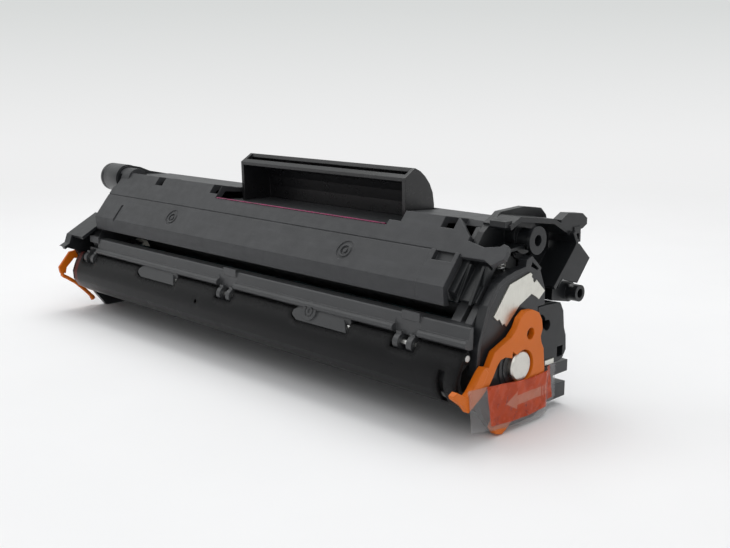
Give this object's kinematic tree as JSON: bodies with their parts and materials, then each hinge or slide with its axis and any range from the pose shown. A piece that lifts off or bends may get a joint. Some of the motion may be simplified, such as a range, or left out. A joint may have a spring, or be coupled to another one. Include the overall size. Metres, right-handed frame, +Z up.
{
  "type": "toner cartridge",
  "caption": "Long dark toner cartridge with a sloping deck, open carrying handle, drum with gears and rollers, sprung drum cover, orange transport clips and a red pull tape.",
  "frame": {"origin": "centre of the bounding box's bottom face, on the surface that the cartridge stands on", "axes": "+X along the drum, +Y from the front bar to the back, +Z up"},
  "size_m": [0.294, 0.0884, 0.0933],
  "materials": {
    "deck_plastic": "fine textured dark grey polystyrene",
    "cover_plastic": "smooth dark grey plastic",
    "handle_plastic": "glossy black plastic",
    "black_plastic": "black plastic",
    "bush_plastic": "black low-friction plastic",
    "white_plastic": "natural white acetal",
    "orange_plastic": "satin orange plastic",
    "contact_metal": "pale nickel-plated sheet metal",
    "axle_steel": "ground steel",
    "rod_steel": "drawn steel wire",
    "bracket_steel": "galvanised sheet steel",
    "blade_steel": "thin spring steel",
    "spring_steel": "zinc-plated steel",
    "sleeve_metal": "blasted dark coated aluminium",
    "drum_coating": "glossy blue-green photoconductor",
    "roller_rubber": "smooth black conductive rubber",
    "blade_rubber": "amber polyurethane",
    "label_film": "magenta film",
    "clear_film": "thin clear film",
    "red_film": "translucent red film with a clear edge"
  },
  "bodies": {
    "root": {"drum_frame": "deck_plastic", "drum_end_cap_right": "deck_plastic", "drum_end_cap_left": "deck_plastic", "contact_plate": "contact_metal", "side_contact": "contact_metal", "axle_bush": "bush_plastic", "drum_axle_pin": "axle_steel", "charge_bearings": "white_plastic", "charge_springs": "spring_steel", "cleaning_blade": "blade_rubber", "blade_bracket": "bracket_steel", "blade_screws": "spring_steel", "cover_rod": "rod_steel", "toner_hopper": "deck_plastic", "hopper_lid": "deck_plastic", "carry_handle": "handle_plastic", "label_strip": "label_film", "side_cover_right": "deck_plastic", "gear_cover_left": "deck_plastic", "developer_bearings": "white_plastic", "doctor_blade": "blade_steel", "doctor_bracket": "bracket_steel", "doctor_screws": "spring_steel", "idler_pin": "axle_steel", "fill_plug": "black_plastic", "joint_pins": "axle_steel", "joint_springs": "spring_steel", "cap_screws": "spring_steel", "transport_clip_right": "orange_plastic", "transport_clip_left": "orange_plastic", "pull_tape": "red_film"},
    "drum": {"opc_drum": "drum_coating", "drum_flange_right": "white_plastic", "drum_drive_gear": "white_plastic"},
    "charge_roller": {"charge_roller_rubber": "roller_rubber", "charge_roller_shaft": "axle_steel"},
    "developer_roller": {"developer_sleeve": "sleeve_metal", "developer_shaft": "axle_steel", "developer_gear": "white_plastic"},
    "idler": {"idler_gear": "white_plastic"},
    "agitator": {"agitator_shaft": "white_plastic", "agitator_film": "clear_film", "agitator_gear": "white_plastic"},
    "cover": {"drum_cover": "cover_plastic"}
  },
  "joints": [
    {"name": "drum_spin", "type": "hinge", "parent": "root", "child": "drum", "pos_m": [0, -0.0042, 0.024], "axis": [1, 0, 0], "continuous": true},
    {"name": "charge_roller_spin", "type": "hinge", "parent": "root", "child": "charge_roller", "pos_m": [0, -0.01927, 0.0327], "axis": [1, 0, 0], "continuous": true},
    {"name": "developer_roller_spin", "type": "hinge", "parent": "root", "child": "developer_roller", "pos_m": [0, 0.01143, 0.03711], "axis": [1, 0, 0], "continuous": true},
    {"name": "idler_spin", "type": "hinge", "parent": "root", "child": "idler", "pos_m": [0, 0.02287, 0.04886], "axis": [1, 0, 0], "continuous": true},
    {"name": "agitator_spin", "type": "hinge", "parent": "root", "child": "agitator", "pos_m": [0, 0.0038, 0.059], "axis": [1, 0, 0], "continuous": true},
    {"name": "cover_hinge", "type": "hinge", "parent": "root", "child": "cover", "pos_m": [0, -0.0318, 0.0319], "axis": [-1, 0, 0], "range_deg": [0, 75], "stiffness_Nm_per_rad": 0.014, "springref_deg": -51.57}
  ],
  "couplings": [
    {"joint": "charge_roller_spin", "follows": "drum_spin", "ratio": -2.4},
    {"joint": "developer_roller_spin", "follows": "drum_spin", "ratio": -2},
    {"joint": "idler_spin", "follows": "drum_spin", "ratio": 1.4167},
    {"joint": "agitator_spin", "follows": "drum_spin", "ratio": -1.1333}
  ]
}
